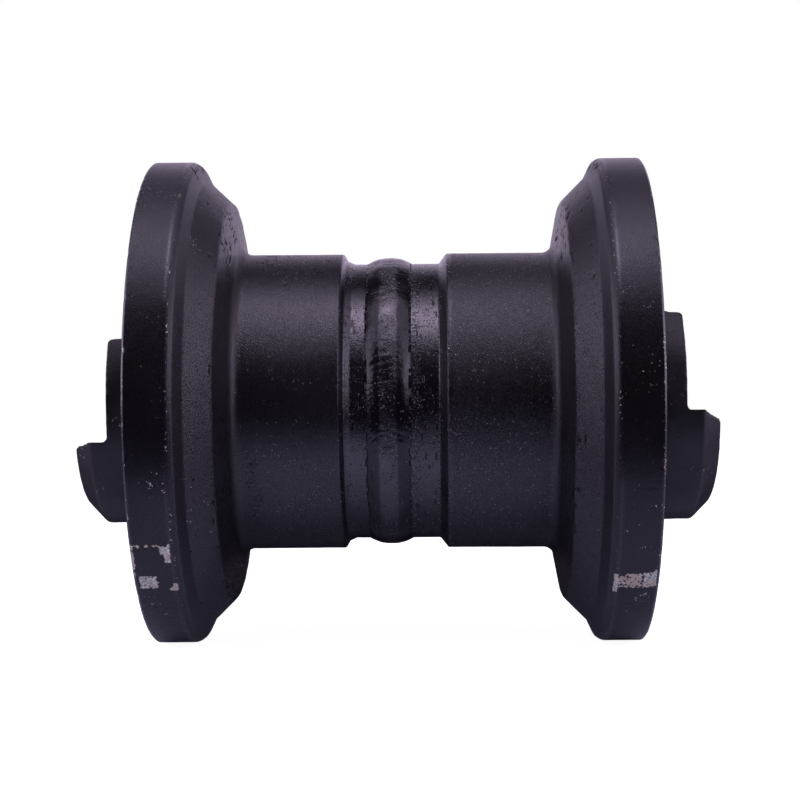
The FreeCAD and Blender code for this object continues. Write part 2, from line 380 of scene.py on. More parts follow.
def turned_piece(name, skin, inside):
    """Closes a skin with its plain inside and makes a smooth mesh object of them."""
    core = Turned(inside, skin.side, len(skin.angle))
    points = np.concatenate([skin.placed(skin.lift), core.points])
    faces = closed_rings(points.shape[0], points.shape[1], skin.side > 0)
    mesh = bpy.data.meshes.new(name)
    mesh.from_pydata((points.reshape(-1, 3) * MM).tolist(), [], faces.tolist())
    mesh.polygons.foreach_set("use_smooth", np.ones(len(mesh.polygons), bool))
    skin.fields["along"] = np.broadcast_to(skin.along[:, None], skin.lift.shape)
    for field, values in skin.fields.items():
        keep_field(mesh, field, np.concatenate([values, np.zeros(core.lift.shape)]))
    mesh.update()
    return link(name, mesh)


# ---- running body

WHOLE_TURN = (-180, 180)
ON_BARREL = (24, 60)
WALL_FOOT = (BARREL_END[0] + 1.0, BARREL_R + 6)
WALL_TOP = (KNEE[0] + 1.5, KNEE[1] + 1)
WALL_PIT_ANGLES = (47, 76)
WALL_PIT_CLUSTERS = 9
CLUSTER_HALF_ANGLE = 12
LATHE_MARKS = (24, 44)
RIM_SINK = 0.10

# How sandy the paint on each barrel is.
BARREL_SAND = {"left": 0.6, "right": 0.95}

# A pit's length and depth as shares of those asked for, its width, and how far tilts scatter.
PIT_LENGTH_SHARE = (0.45, 1.3)
PIT_DEPTH_SHARE = (0.5, 1.2)
PIT_WIDTH = (0.6, 1.1)
PIT_TILT_SPREAD = 6

# Pits on the whole turn: their number, the places (s, radius) they lie between, length, depth, tilt.
SPREAD_PITS = [
    (70, KNEE, RIM_FOOT, 2.2, 0.25, 30),
    (60, (ON_BARREL[0], BARREL_R), (ON_BARREL[1], BARREL_R), 2.2, 0.16, 20),
    (60, RIM_INNER, (FLANGE_FACE_S - 2, FLANGE_R), 1.8, 0.13, 80),
    (50, (FLANGE_FACE_S, 60), (FLANGE_FACE_S, 96), 2.6, 0.18, 45),
    (16, (9, NECK_R), (16, NECK_R), 2.0, 0.14, 5),
]

# Bare patches on the rims: s, depth below the rim, angle, length round it, width along it, amount.
BARE_PATCHES = {
    "left": [
        (93.7, 0, -42.6, 6.4, 6.6, 0.74),
        (86.3, 0, -33.2, 3.2, 3.0, 1.0),
        (85.0, 0, -35.4, 3.6, 1.4, 1.0),
        (83.6, 0, -43.9, 2.6, 0.8, 1.0),
        (84.6, 0, -44.9, 0.7, 2.6, 1.0),
        (98.4, 0.6, -36.0, 8.0, 0.9, 1.0),
        (98.4, 0.6, -32.4, 1.6, 0.9, 1.0),
    ],
    "right": [
        (83.2, 0.2, -43.8, 9.5, 0.7, 1.2),
        (85.4, 0, -43.2, 5.6, 3.0, 0.66),
        (90.0, 0, -43.0, 7.4, 5.6, 0.72),
        (95.2, 0, -42.8, 7.8, 3.6, 0.7),
        (97.6, 0, -42.0, 8.0, 0.3, 1.1),
    ],
}

# A broken row of chips above the left rim's patch.
CHIP_ROW_S = (84.6, 87.2, 88.6, 90.2, 92.6, 95.8, 97.2)
CHIP_ROW_ANGLE = -31.9

# Where pale specks, partly painted glints, gather: (s, angle) on barrel and rims, (s, radius, angle,
# reach) on the cone.
LEFT_BARREL_GLINT_SPECKS = [
    (30.7, 33.7), (29, 31), (33, 36), (36, 30), (27.5, 27), (31, 26), (52, 34), (49, 31),
]
LEFT_RIM_GLINT_SPECKS = [(96, 57), (92, 55), (88, 56), (97, 53), (86, 54), (94, 60)]
RIGHT_RIM_GLINT_SPECKS = [(87, 24), (93, 20), (96, 30), (86, 8), (91, 6), (95, 9)]
LEFT_CONE_CHIPS = [(77.3, 91.5, 43.0, 1.6), (76.4, 90.7, 42.0, 2.4), (78.2, 92.6, 44.5, 1.4)]

# Where the left barrel is pitted, as (s, angle), and its cone rubbed, as (s, radius, angle).
LEFT_PITTED = [(51, 70), (50, 77), (53, 65), (45, 66)]
LEFT_CONE_RUBBED = [
    (78.3, 92.7, -16), (77.2, 91.4, -19), (78.5, 93, -22), (76.6, 90.8, -25), (77.8, 92, -29),
]


def body_zones(skin):
    """How far each row of the skin belongs to each part of the outline, from 0 to 1."""
    s, r = skin.s, skin.r
    face = s.max()
    low = r < BARREL_R + 1
    foot = s < RIM_FOOT[0]
    return {
        "neck": band(r, 0, NECK_R + 0.5, soft=1.0) * (s < SHOULDER_TOP_S),
        "shoulder": band(s, SHOULDER_FOOT_S - 0.5, SHOULDER_TOP_S + 0.6, soft=0.8) * low,
        "barrel": band(s, SHOULDER_TOP_S, BARREL_END[0] - 3, soft=1.5) * low * (r > RECESS_R + 2),
        "wall": band(r, BARREL_R + 3, KNEE[1], soft=2.0) * foot * (s > SHOULDER_FOOT_S),
        "cone": band(r, KNEE[1], RIM_FOOT[1], soft=1.0) * (s < RIM_FOOT[0] + 1),
        "rim": band(s, RIM_INNER[0], face, soft=1.0) * (r > FLANGE_R - 1.5),
        "face": band(s, face - 0.1, face, soft=0.3) * (r < FLANGE_R - 1),
    }


def mixed(zones, rest, **levels):
    """One value per row from how much of each zone the row holds."""
    value = np.full_like(zones["neck"], rest)
    for zone, level in levels.items():
        value += (level - rest) * zones[zone]
    return value[:, None]


def forge(skin, zones):
    """The slow waves and small lumps that forging and paint leave."""
    lumps = layered(
        skin.points,
        forged_waves=mixed(zones, rest=0.10, wall=0.30, cone=0.26, rim=0.05, face=0.05),
        forged_lumps=mixed(zones, rest=0.03, wall=0.09, cone=0.08, rim=0.03),
        forged_sand=mixed(zones, rest=0.016, wall=0.03, cone=0.035, rim=0.02, barrel=0.02),
    )
    skin.lift += lumps * (skin.r > RECESS_R + 1)[:, None]
    skin.lift -= RIM_SINK * zones["rim"][:, None]


def edge_lines(skin):
    """Bare, broken lines along the edges that rub first."""
    face = skin.s.max()
    # Each edge: s, radius, reach and amount.
    edges = [
        (face - RIM_CHAMFER, FLANGE_R, 0.4, 0.40),
        (face, FLANGE_R - RIM_CHAMFER, 0.4, 0.44),
        (RIM_INNER[0] + 1.2, FLANGE_R - 0.4, 0.9, 0.38),
        (SHOULDER_TOP_S, BARREL_R - 0.2, 0.5, 0.5),
    ]
    broken = layered(skin.points, 0.62, edge_breaks=0.5, edge_crumbs=0.35)
    bare = np.zeros(skin.lift.shape)
    for s, r, reach, amount in edges:
        bare = np.maximum(bare, skin.near(s, r, reach) * amount * broken)
    skin.field("bare", bare)


def paint_fields(skin, zones, sandy):
    """How glossy, thin, grainy, pitted and turned each part of the paint is, where its specks with painted
    glints lie, and how much paler the rims' tops are.
    """
    face = skin.s.max()
    inner_line = skin.near(RIM_INNER[0] + 2.2, FLANGE_R - 0.1, reach=0.8)
    outer_line = skin.near(face - 0.4, FLANGE_R - 0.4, reach=0.8)
    parts = {
        "patches": layered(skin.points, patches=1.0),
        "rubbed": inner_line + 2.2 * outer_line,
        "toe": band(skin.s, 0, GROOVE_TOP_HALF + 1.5, soft=1.0)[:, None],
    }
    gloss = mixed(zones, rest=0.35, neck=0.95, shoulder=0.8, barrel=0.5, wall=0.45, cone=0.4, rim=0.5)
    skin.field("gloss", raised(gloss, parts, patches=0.08, rubbed=0.12))
    thin = mixed(zones, rest=0.45, neck=0.8, shoulder=0.6, rim=0.1)
    skin.field("thin", raised(thin, parts, patches=0.05, rubbed=0.3))
    grain = mixed(zones, rest=0.5, neck=0.55, barrel=sandy, wall=0.8, cone=0.7, rim=0.35)
    skin.field("grain", grain * raised(1, parts, patches=0.5))
    clumps = layered(skin.points, 1, clumps=0.9)
    pitted = mixed(zones, rest=0.04, neck=0.22, shoulder=0.3, barrel=0.05, wall=0.2, cone=0.08, rim=0.02)
    skin.field("pitted", raised(pitted, parts, toe=0.8) * clumps)
    skin.field("scored", mixed(zones, rest=0, neck=0.1, wall=0.12, cone=0.03) * clumps)
    # Pale specks, standing partly for painted glints.
    specks_and_glints = mixed(zones, rest=0.01, neck=0.05, barrel=0.10 * sandy, rim=0.02, cone=0.02)
    skin.field("specks_and_glints", raised(specks_and_glints * clumps, parts, toe=0.12))
    # Paler colour on the rims' upward-facing side.
    upward = rise(np.sin(np.radians(skin.angle)), 0.35, 0.8)
    skin.field("paler_on_top", mixed(zones, rest=0, rim=0.8) * upward)
    steady = (1 - sandy) * band(skin.s, *LATHE_MARKS, soft=7.0)[:, None] + 0.25
    turned = mixed(zones, rest=0, barrel=1.0) * steady
    skin.field("turned", turned + mixed(zones, rest=0, face=0.8, neck=0.7))
    # No painted shade yet; the pits added later paint it into their dents.
    skin.field("grime", 0)


def place_between(rng, start, end, least=0.0):
    """A random place (s, radius) between two, at least a share of the way to the second."""
    t = rng.uniform(least, 1.0)
    return start[0] + (end[0] - start[0]) * t, start[1] + (end[1] - start[1]) * t


def scattered_pits(skin, rng, count, start, end, angles, length, depth, tilt):
    """Random dents between two places on the outline and two angles."""
    for _ in range(count):
        place = place_between(rng, start, end)
        angle = rng.uniform(*angles)
        long = length * rng.uniform(*PIT_LENGTH_SHARE)
        wide = rng.uniform(*PIT_WIDTH)
        deep = depth * rng.uniform(*PIT_DEPTH_SHARE)
        skin.pit(*place, angle, long, wide, deep, rng.normal(tilt, PIT_TILT_SPREAD))


def forging_pits(skin, rng):
    """Scale pits: clusters on the wall and at the knee, some on the barrel, a few everywhere."""
    wall = (WALL_FOOT, WALL_TOP)
    scattered_pits(skin, rng, 30, *wall, WALL_PIT_ANGLES, length=4.2, depth=0.35, tilt=8)
    for _ in range(12):
        place = place_between(rng, *wall)
        skin.gather("scored", *place, rng.uniform(48, 76), reach=4.0, amount=0.5)
    foot = (RIM_FOOT[0] + 1, RIM_FOOT[1] + 3)
    scattered_pits(skin, rng, 14, foot, RIM_INNER, (70, 86), length=3.2, depth=0.4, tilt=30)
    for _ in range(WALL_PIT_CLUSTERS):
        middle = rng.uniform(-160, 200)
        angles = (middle - CLUSTER_HALF_ANGLE, middle + CLUSTER_HALF_ANGLE)
        scattered_pits(skin, rng, 14, *wall, angles, length=3.0, depth=0.38, tilt=10)
    for count, start, end, length, depth, tilt in SPREAD_PITS:
        scattered_pits(skin, rng, count, start, end, WHOLE_TURN, length, depth, tilt)


def bare_patches(skin, patches):
    """The patches on a rim that are rubbed to bare metal."""
    for s, below, angle, length, width, amount in patches:
        skin.wear(s, FLANGE_R - below, angle, length, width, amount)


def glinting_specks(skin, places, r, reach, amount):
    """Gathers pale specks, partly painted glints, at places (s, angle)."""
    for s, angle in places:
        skin.gather("specks_and_glints", s, r, angle, reach, amount)


def scratches(skin, rng, count, reach, angles, amount):
    """Short straight scratches along the axle, across the rim."""
    for _ in range(count):
        s = rng.uniform(*reach)
        angle = rng.uniform(*angles)
        skin.wear(s, FLANGE_R, angle, length=0.12, width=rng.uniform(1.0, 4.0), amount=amount)


def chip_row(skin):
    """Small chips in a row across the left rim, each a little unlike the last."""
    for k, s in enumerate(CHIP_ROW_S):
        angle = CHIP_ROW_ANGLE - 0.12 * (k % 2)
        skin.wear(s, FLANGE_R, angle, length=0.4, width=0.5 + 0.5 * (k % 3), amount=0.75)


def left_marks(skin, rng):
    """What handling left on the left half: a bare patch and chips on the rim, and pitted spots."""
    place = ((48, BARREL_R), (54, BARREL_R), (62, 80))
    scattered_pits(skin, rng, 14, *place, length=0.9, depth=0.3, tilt=80)
    place = ((40, BARREL_R), (57, BARREL_R), (55, 84))
    scattered_pits(skin, rng, 16, *place, length=0.8, depth=0.3, tilt=80)
    for s, angle in LEFT_PITTED:
        skin.gather("pitted", s, BARREL_R, angle, reach=3.0, amount=0.3)
    glinting_specks(skin, LEFT_BARREL_GLINT_SPECKS, BARREL_R, reach=2.6, amount=0.22)
    place = ((54, BARREL_R), (59, BARREL_R), (-50, -20))
    scattered_pits(skin, rng, 30, *place, length=1.5, depth=0.2, tilt=60)
    bare_patches(skin, BARE_PATCHES["left"])
    chip_row(skin)
    scratches(skin, rng, 9, (84, 92), (-20, -14), amount=0.42)
    scratches(skin, rng, 8, (88, 97), (-55, -47), amount=0.42)
    for s, r, angle, reach in LEFT_CONE_CHIPS:
        skin.gather("specks_and_glints", s, r, angle, reach, amount=0.6)
    glinting_specks(skin, LEFT_RIM_GLINT_SPECKS, FLANGE_R, reach=2.5, amount=0.16)
    for _ in range(16):
        place = place_between(rng, KNEE, RIM_FOOT, least=0.2)
        angle = rng.uniform(-38, -14)
        length = rng.uniform(2, 6)
        skin.scrape(*place, angle, length, width=0.5, tilt=rng.normal(60, 12), amount=0.42)
    for s, r, angle in LEFT_CONE_RUBBED:
        skin.gather("bare", s, r, angle, reach=2.4, amount=0.26)
    for angle in np.arange(-50, -20, 4.0):
        s = 56 + rng.uniform(-1, 1)
        skin.gather("pitted", s, BARREL_R, angle, reach=2.6, amount=0.55)


def right_marks(skin, rng):
    """What handling left on the right half: a bare patch across the whole rim, and pits."""
    bare_patches(skin, BARE_PATCHES["right"])
    for _ in range(10):
        s = rng.uniform(88, 98)
        angle = rng.normal(-48.4, 0.6)
        skin.wear(s, FLANGE_R, angle, length=0.4, width=1.2, amount=0.42)
    scratches(skin, rng, 10, (86, 97), (-57, -50), amount=0.36)
    scratches(skin, rng, 9, (82, 97), (-34, -22), amount=0.36)
    for _ in range(7):
        s = rng.uniform(86, 95)
        angle = rng.uniform(-23, -18)
        length = rng.uniform(1.5, 4.5)
        skin.pit(s, FLANGE_R, angle, length, width=0.5, depth=0.14, tilt=90)
    scratches(skin, rng, 16, (86, 97), (1, 12), amount=0.3)
    glinting_specks(skin, RIGHT_RIM_GLINT_SPECKS, FLANGE_R, reach=2.5, amount=0.12)


def chamfer_nicks(skin, rng):
    """Small dents along the rim's outer edge."""
    edge = (skin.s.max() - 0.6, FLANGE_R - 0.6)
    for _ in range(40):
        angle = rng.uniform(*WHOLE_TURN)
        at, up, round_it = skin.window(*edge, angle, half_along=2.5, half_around=3.0)
        reach = rng.uniform(0.5, 1.6)
        dent = np.exp(-(up / 1.1) ** 2 - (round_it / reach) ** 2)
        skin.lift[at] -= rng.uniform(0.05, 0.3) * dent
        skin.show("bare", at, dent * rng.uniform(0, 0.45))


def face_marks(skin, rng):
    """Fine scrapes on the flange's flat face, where it has lain on other parts."""
    face = skin.s.max()
    for _ in range(60):
        r = rng.uniform(RECESS_R + 4, FLANGE_R - 3)
        length = rng.uniform(2, 9)
        angle = rng.uniform(*WHOLE_TURN)
        tilt = rng.normal(0, 22)
        skin.scrape(face, r, angle, length, 0.6, tilt, amount=rng.uniform(0.3, 0.5))
    for _ in range(14):
        r = rng.uniform(RECESS_R + 8, FLANGE_R - 4)
        angle = rng.uniform(*WHOLE_TURN)
        skin.gather("specks_and_glints", face, r, angle, reach=rng.uniform(3, 7), amount=0.2)


def running_half(name):
    """One half of the running body, in place of its CAD node."""
    side = SIDES[name]
    rng = np.random.default_rng(SEED + side)
    skin = Turned(shell_skin(name), side, SEGMENTS)
    zones = body_zones(skin)
    forge(skin, zones)
    edge_lines(skin)
    paint_fields(skin, zones, BARREL_SAND[name])
    forging_pits(skin, rng)
    marks = {"left": left_marks, "right": right_marks}[name]
    marks(skin, rng)
    chamfer_nicks(skin, rng)
    face_marks(skin, rng)
    piece = turned_piece(name + "_half", skin, shell_inside(side))
    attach(piece, "roller")
    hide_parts(name + "_shell")
    return piece


# ---- weld

RIPPLE_PITCH = 2.5
RIPPLE_BOW = 2.6
RIPPLE_HEIGHT = 0.045
RIPPLES_LOST_UNDER_LAPS = 0.75
TOE_ACROSS = 0.955
TOE_WIDTH = 0.03
LAP_PITCH = 17.0


def bead_outline():
    """The crown of the weld, from its left toe to its right, as (s, radius)."""
    crown = BEAD_CROWN_R - NECK_R
    radius = (BEAD_HALF ** 2 + crown ** 2) / (2 * crown)
    edge = math.asin(BEAD_HALF / radius)
    leans = [edge * (2 * k / BEAD_ROWS - 1) for k in range(BEAD_ROWS + 1)]
    centre = BEAD_CROWN_R - radius
    return [Vector((SEAM_Y + radius * math.sin(a), centre + radius * math.cos(a))) for a in leans]


def bead_ripples(skin, across, arc):
    """Crescent ripples left as the weld pool froze, which fade in and out, and fine crinkles."""
    wander = layered(skin.points, ripple_wander=2.4)
    phase = (arc + RIPPLE_BOW * across ** 2 + wander) * 2 * math.pi / RIPPLE_PITCH
    strength = smooth(layered(skin.points, 0.1, ripple_strength=1.4))
    crinkles = layered(skin.points, bead_crinkles=0.05, bead_creases=0.03)
    return (RIPPLE_HEIGHT * np.sin(phase) * strength + crinkles) * (1 - abs(across) ** 4)


def bead_toes(skin, across):
    """The undercut line along both toes, with its dotted pits."""
    line = np.exp(-((abs(across) - TOE_ACROSS) / TOE_WIDTH) ** 2)
    dots = smooth(layered(skin.points, 0.3, toe_dots=3))
    return line, line * (0.05 + 0.38 * dots)


def bead_laps(skin, across, arc):
    """Long smooth lens shapes where one run of weld laps over the last, on each flank."""
    lift = np.zeros(skin.lift.shape)
    rng = np.random.default_rng(SEED)
    turn = 2 * math.pi * BEAD_CROWN_R
    for start in np.arange(0, turn, LAP_PITCH):
        for flank in (-1, 1):
            middle = start + rng.uniform(-5, 5)
            place = flank * rng.uniform(0.5, 0.72)
            away = (arc - middle + turn / 2) % turn - turn / 2
            half_length = rng.uniform(7, 13)
            half_width = rng.uniform(0.2, 0.3)
            lens = (away / half_length) ** 2 + ((across - place) / half_width) ** 2
            lift += rng.uniform(0.04, 0.12) * smooth(1.25 - lens)
    return lift


def bead_relief(skin, across, arc, undercut):
    """Lifts the bead's skin into its ripples, lumps and laps, and sinks its toes."""
    laps = bead_laps(skin, across, arc)
    lumps = 0.6 * layered(skin.points, bead_lumps=0.34, bead_bumps=0.10)
    middle = 1 - abs(across) ** 3
    rippled = 1 - RIPPLES_LOST_UNDER_LAPS * smooth(laps * 5)
    skin.lift += bead_ripples(skin, across, arc) * rippled
    skin.lift += (lumps + laps) * middle - undercut


def bead_fields(skin, across, toe_line):
    """How glossy, thin, grainy, pitted and specked the weld's paint is, with shade painted along its toes
    and glints painted in its specks.
    """
    parts = {"ridge": band(abs(across), 0, 0.24, soft=0.24), "toe": toe_line}
    # Painted shade along the toes' undercut line, in broken spots.
    skin.field("grime", toe_line * smooth(layered(skin.points, 0.3, toe_grime=1)))
    skin.field("gloss", raised(0.75, parts, ridge=0.2))
    skin.field("thin", raised(0.25, parts, ridge=0.9))
    skin.field("grain", layered(skin.points, raised(0.2, parts, ridge=0.6), bead_roughness=0.5))
    skin.field("pitted", raised(0.5 * skin.fields["grain"] ** 2, parts, toe=0.8))
    skin.field("specks_and_glints", raised(0.06, parts, toe=0.5, ridge=0.08))
    for absent in ("bare", "scored", "paler_on_top", "turned"):
        skin.field(absent, 0)


def weld_piece():
    """The weld bead with its ripples, laps and toes, in place of its CAD node."""
    skin = Turned(bead_outline(), 1, BEAD_SEGMENTS)
    across = ((skin.s - SEAM_Y) / BEAD_HALF)[:, None]
    arc = (np.radians(skin.angle) * BEAD_CROWN_R)[None, :]
    toe_line, undercut = bead_toes(skin, across)
    bead_relief(skin, across, arc, undercut)
    bead_fields(skin, across, toe_line)
    root = [
        Vector((SEAM_Y + GROOVE_TOP_HALF, NECK_R)),
        Vector((SEAM_Y + GROOVE_ROOT_HALF, GROOVE_ROOT_R)),
        Vector((SEAM_Y - GROOVE_ROOT_HALF, GROOVE_ROOT_R)),
        Vector((SEAM_Y - GROOVE_TOP_HALF, NECK_R)),
    ]
    piece = turned_piece("weld", skin, root)
    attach(piece, "roller")
    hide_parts("weld_bead")
    return piece


# ---- collars

JOIN_DISTANCE = 0.002
SOFTENING_PASSES = 3
CAST_SINK = 0.24


def merged_copy(node, name):
    """A new object with the node's mesh, its split edges joined again."""
    work = bmesh.new()
    work.from_mesh(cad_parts[node].data)
    bmesh.ops.remove_doubles(work, verts=work.verts, dist=JOIN_DISTANCE * MM)
    mesh = bpy.data.meshes.new(name)
    work.to_mesh(mesh)
    work.free()
    return link(name, mesh)


def soften(piece):
    """Divides the mesh evenly, rounds its edges off a little and keeps the result."""
    remesh = piece.modifiers.new("even", "REMESH")
    remesh.mode = "VOXEL"
    remesh.voxel_size = CAST_VOXEL * MM
    remesh.use_smooth_shade = True
    rounding = piece.modifiers.new("soften", "SMOOTH")
    rounding.factor = 0.5
    rounding.iterations = SOFTENING_PASSES
    graph = bpy.context.evaluated_depsgraph_get()
    mesh = bpy.data.meshes.new_from_object(piece.evaluated_get(graph))
    piece.modifiers.clear()
    piece.data = mesh


def read_vectors(data, key):
    """Three numbers for each item of a mesh, one item per row."""
    values = np.zeros(len(data) * 3)
    data.foreach_get(key, values)
    return values.reshape(-1, 3)


def cast_skin(mesh, side):
    """Lifts the outside into the faint waves and grain of a casting, and marks where it's worn."""
    points = read_vectors(mesh.vertices, "co") / MM
    normals = read_vectors(mesh.vertex_normals, "vector")
    s = side * points[:, 1]
    r = np.hypot(points[:, 0], points[:, 2])
    round_side = rise(r, COLLAR_R - 3, COLLAR_R - 1)
    end_side = rise(s, FRAME_FACE_S - 8, FRAME_FACE_S - 5)
    outside = np.maximum(round_side, end_side)
    relief = layered(points, cast_waves=0.16, cast_lumps=0.06, cast_grain=0.035)
    lift = outside * (relief - CAST_SINK)
    mesh.vertices.foreach_set("co", ((points + normals * lift[:, None]) * MM).ravel())
    keep_field(mesh, "worn", outside * smooth(layered(points, worn_places=1, worn_edges=0.5)))
    mesh.update()


def collar_piece(name):
    """An end collar with cast skin, in place of its CAD node."""
    piece = merged_copy(name + "_collar", name + "_cast_collar")
    soften(piece)
    cast_skin(piece.data, SIDES[name])
    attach(piece, name + "_end")
    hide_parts(name + "_collar")
    return piece


# ---- shader steps

# A colour mix's sockets by number, since the node has others with the same names.
MIX_INPUTS = (0, 6, 7)
MIX_OUTPUT = 2


class Nodes:
    """A node tree being built. Each step takes plain values or the outputs of earlier steps."""

    def __init__(self, tree):
        self.tree = tree

    def feed(self, socket, value):
        """Links a socket to an earlier output, or sets the socket's own value."""
        if isinstance(value, bpy.types.NodeSocket):
            self.tree.links.new(value, socket)
        elif socket.type == "RGBA":
            socket.default_value = (*value, 1)
        else:
            socket.default_value = value

    def add(self, kind, inputs=(), **settings):
        """Adds a shader node with its inputs and settings."""
        made = self.tree.nodes.new("ShaderNode" + kind)
        for key, value in settings.items():
            setattr(made, key, value)
        for key, value in dict(inputs).items():
            self.feed(made.inputs[key], value)
        return made

    def math(self, operation, *values):
        """One arithmetic step."""
        return self.add("Math", enumerate(values), operation=operation).outputs[0]

    def plus(self, first, second):
        return self.math("ADD", first, second)

    def minus(self, first, second):
        return self.math("SUBTRACT", first, second)

    def times(self, first, second):
        return self.math("MULTIPLY", first, second)

    def larger(self, first, second):
        return self.math("MAXIMUM", first, second)

    def ramp(self, value, low, high, start=0.0, end=1.0):
        """Turns a value from low..high into start..end, smoothly and held at both ends."""
        ends = {"Value": value, "From Min": low, "From Max": high, "To Min": start, "To Max": end}
        return self.add("MapRange", ends, interpolation_type="SMOOTHSTEP").outputs["Result"]

    def blend(self, factor, first, second):
        """Mixes two colours."""
        inputs = zip(MIX_INPUTS, (factor, first, second))
        return self.add("Mix", inputs, data_type="RGBA").outputs[MIX_OUTPUT]

    def fixed(self):
        """Coordinates fixed to the object, in metres."""
        return self.add("TexCoord").outputs["Object"]

    def wound(self, squeeze):
        """Coordinates that run out from the axle, along it, and round it, where they are squeezed."""
        x, y, z = self.add("SeparateXYZ", {0: self.fixed()}).outputs
        out = self.math("POWER", self.plus(self.times(x, x), self.times(z, z)), 0.5)
        turn = self.times(self.math("ARCTAN2", z, x), NECK_R * MM)
        place = self.add("CombineXYZ", {0: out, 1: y, 2: turn}).outputs[0]
        return self.add("Mapping", {"Vector": place, "Scale": (1, 1, squeeze)}).outputs[0]

    def grain(self, size, detail=2.0, place=None):
        """Noise from 0 to 1, with grains about size millimetres across."""
        inputs = {"Vector": place or self.fixed(), "Scale": 1 / (size * MM), "Detail": detail}
        return self.add("TexNoise", inputs).outputs["Fac"]

    def kept(self, name):
        """A value that the mesh keeps at each point."""
        return self.add("Attribute", attribute_name=name).outputs["Fac"]

    def bumped(self, height, depth, normal=None):
        """A bump whose height of 1 stands depth millimetres proud."""
        inputs = {"Height": height, "Distance": depth * MM}
        if normal is not None:
            inputs["Normal"] = normal
        return self.add("Bump", inputs).outputs[0]

    def speckles(self, size, share, place=None):
        """Small spots about size apart, kept where share is high: 1 in a spot and 0 outside."""
        inputs = {"Vector": place or self.fixed(), "Scale": 1 / (size * MM)}
        cells = self.add("TexVoronoi", inputs).outputs
        chance = self.add("SeparateColor", {0: cells["Color"]}).outputs[0]
        kept = self.ramp(self.minus(share, chance), low=0.0, high=0.04)
        return self.times(kept, self.ramp(cells["Distance"], low=0.45, high=0.2))

    def for_camera(self, seen, reflected):
        """One shader for what the camera sees and another for all other light."""
        camera_ray = self.add("LightPath").outputs["Is Camera Ray"]
        return self.add("MixShader", {0: camera_ray, 1: reflected, 2: seen}).outputs[0]

    def shade(self, **inputs):
        """Feeds the Principled shader; an underscore in a key stands for a space."""
        for key, value in inputs.items():
            self.feed(self.tree.nodes["Principled BSDF"].inputs[key.replace("_", " ")], value)


def new_material(name):
    """A material with one Principled shader, and its node tree."""
    material = bpy.data.materials.new(name)
    material.use_nodes = True
    return material, Nodes(material.node_tree)


# ---- materials

PAINT_DEEP = (0.0042, 0.0038, 0.0052)
PAINT_DUSTY = (0.0078, 0.0070, 0.0095)
# The colour of the shade painted into pits and along the weld's toes.
PIT_SHADE_BLACK = (0.0010, 0.0009, 0.0012)
# The paler colour on the rims' upward-facing side.
TOP_PALE = (0.05, 0.050, 0.054)
# Pale specks, partly painted glints.
SPECK_AND_GLINT = (0.38, 0.40, 0.36)
SPECK_AND_GLINT_COVER = 0.6
BARE_LIGHT = (0.80, 0.80, 0.66)
BARE_DULL = (0.30, 0.30, 0.25)
BARE_RUSTY = (0.52, 0.46, 0.34)
BARE_METALLIC = 0.75
BARE_ROUGHER = 0.22
BARE_RAGGED = 1.9
# Rougher, and with dimmer reflections, where shade is painted into pits.
RECESS_ROUGHER = 0.35
SHADE_DULLER = 0.3
GLINTS = 3.0
SPOT_SIZE = 0.75
SCORE_SIZE = 1.3
TURNING_PITCH = 0.9
TURNING_WANDER = 2.5
RUBBED_METALLIC = 0.6
STAIN_COVER = 0.5
STAIN_ROUGHER = 0.15
STAIN_DARKER = 0.4
POLISH_SPREAD = 0.16
NITRILE = (0.012, 0.012, 0.013)
NITRILE_BLOOM = (0.045, 0.044, 0.042)

# Metals, each a light and a dark colour.
STEEL = ((0.52, 0.51, 0.50), (0.38, 0.37, 0.37))
BRONZE = ((0.62, 0.42, 0.20), (0.43, 0.27, 0.12))
IRON = ((0.30, 0.30, 0.31), (0.17, 0.165, 0.16))
BLUED = ((0.14, 0.14, 0.17), (0.07, 0.065, 0.075))
ZINC = ((0.66, 0.67, 0.70), (0.48, 0.49, 0.52))

# How much the fine marks are squeezed round the axle, which draws them out that way.
SCORES_SQUEEZE = 0.25
STREAKS_SQUEEZE = 0.05
LATHE_SQUEEZE = 0.03


def body_masks(nodes):
    """Where the body has bare metal, shade painted into pits and the weld's toes, and pale specks partly
    painted as glints, from 0 to 1.
    """
    ragged = nodes.minus(nodes.grain(1.0, detail=4.0), 0.5)
    bare = nodes.plus(nodes.kept("bare"), nodes.times(ragged, BARE_RAGGED))
    scores = nodes.speckles(SCORE_SIZE, nodes.kept("scored"), nodes.wound(SCORES_SQUEEZE))
    pits = nodes.larger(nodes.speckles(SPOT_SIZE, nodes.kept("pitted")), scores)
    # Painted shade in dents and along the weld's toes.
    grime = nodes.ramp(nodes.kept("grime"), low=0.25, high=0.85)
    return {
        "bare": nodes.ramp(bare, low=0.50, high=0.60),
        "grime": grime,
        "pits": pits,
        "dark": nodes.larger(grime, pits),
        "glinting_specks": nodes.speckles(SPOT_SIZE, nodes.kept("specks_and_glints")),
    }


def paint_colour(nodes, cloudy):
    """Black paint with faint dusty clouds."""
    return nodes.blend(nodes.ramp(cloudy, low=0.35, high=0.7), PAINT_DEEP, PAINT_DUSTY)


